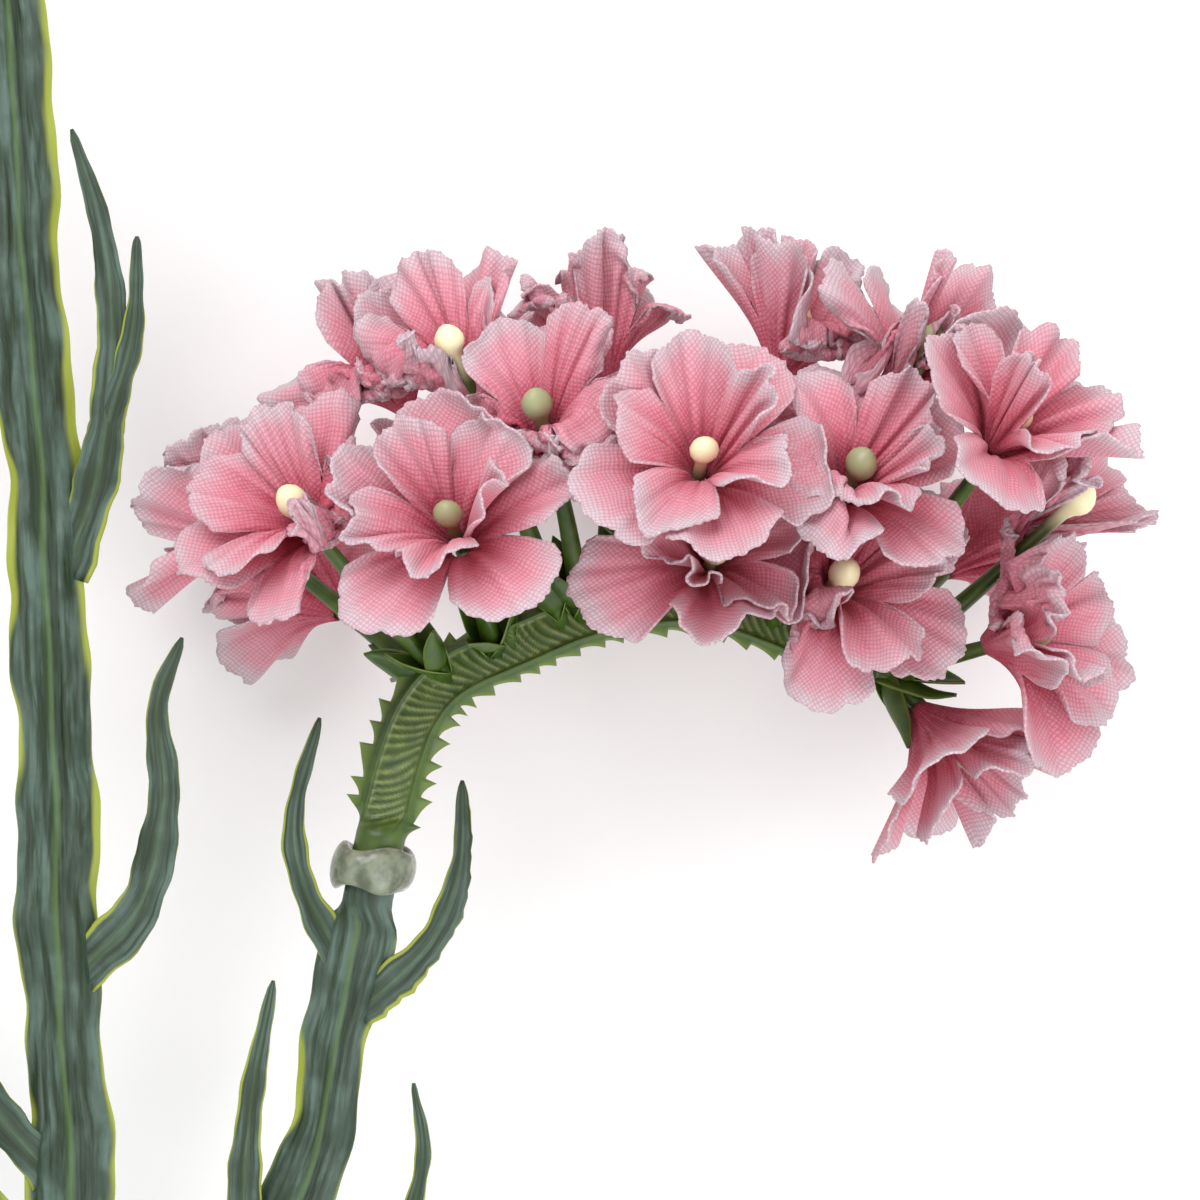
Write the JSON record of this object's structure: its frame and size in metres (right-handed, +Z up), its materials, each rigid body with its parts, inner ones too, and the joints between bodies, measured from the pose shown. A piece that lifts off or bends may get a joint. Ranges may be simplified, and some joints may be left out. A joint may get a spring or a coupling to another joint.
{
  "type": "artificial statice spray",
  "caption": "Branching spray of artificial statice lying flat: winged stem with forked side branches, arched combs of ruffled fabric florets, stem wire showing at the cut end.",
  "frame": {"origin": "middle of the spray's bounding footprint, on the surface it lies on", "axes": "+Y along the stem from its cut end to the top flower head, +X towards the right-hand side branch, +Z up from the surface"},
  "size_m": [0.1868, 0.3048, 0.05],
  "materials": {
    "stem_plastic": "soft moulded polyethylene, dark green with a brushed whitish bloom and yellow-green wing edges",
    "comb_plastic": "olive green moulded polyethylene, pegs tipped with cream paint",
    "petal_fabric": "starched plain-weave polyester, deep pink at the throat and pale at the cut rim",
    "hot_glue": "milky translucent hot-melt glue",
    "wire": "plain drawn steel, cut square"
  },
  "bodies": {
    "root": {"left_branch": "stem_plastic", "left_comb": "comb_plastic", "left_floret_01": "petal_fabric", "left_floret_02": "petal_fabric", "left_floret_03": "petal_fabric", "left_floret_04": "petal_fabric", "left_floret_05": "petal_fabric", "left_floret_06": "petal_fabric", "left_floret_07": "petal_fabric", "left_floret_08": "petal_fabric", "left_floret_09": "petal_fabric", "left_floret_10": "petal_fabric", "left_floret_11": "petal_fabric", "left_glue_collar": "hot_glue", "main_stem": "stem_plastic", "right_branch": "stem_plastic", "right_comb": "comb_plastic", "right_floret_01": "petal_fabric", "right_floret_02": "petal_fabric", "right_floret_03": "petal_fabric", "right_floret_04": "petal_fabric", "right_floret_05": "petal_fabric", "right_floret_06": "petal_fabric", "right_floret_07": "petal_fabric", "right_floret_08": "petal_fabric", "right_floret_09": "petal_fabric", "right_floret_10": "petal_fabric", "right_floret_11": "petal_fabric", "right_floret_12": "petal_fabric", "right_floret_13": "petal_fabric", "right_floret_14": "petal_fabric", "right_floret_15": "petal_fabric", "right_floret_16": "petal_fabric", "right_floret_17": "petal_fabric", "right_floret_18": "petal_fabric", "right_floret_19": "petal_fabric", "right_floret_20": "petal_fabric", "right_floret_21": "petal_fabric", "right_floret_22": "petal_fabric", "right_glue_collar": "hot_glue", "stem_wire": "wire", "top_comb": "comb_plastic", "top_floret_01": "petal_fabric", "top_floret_02": "petal_fabric", "top_floret_03": "petal_fabric", "top_floret_04": "petal_fabric", "top_floret_05": "petal_fabric", "top_floret_06": "petal_fabric", "top_floret_07": "petal_fabric", "top_floret_08": "petal_fabric", "top_floret_09": "petal_fabric", "top_floret_10": "petal_fabric", "top_floret_11": "petal_fabric", "top_glue_collar": "hot_glue"}
  },
  "joints": []
}
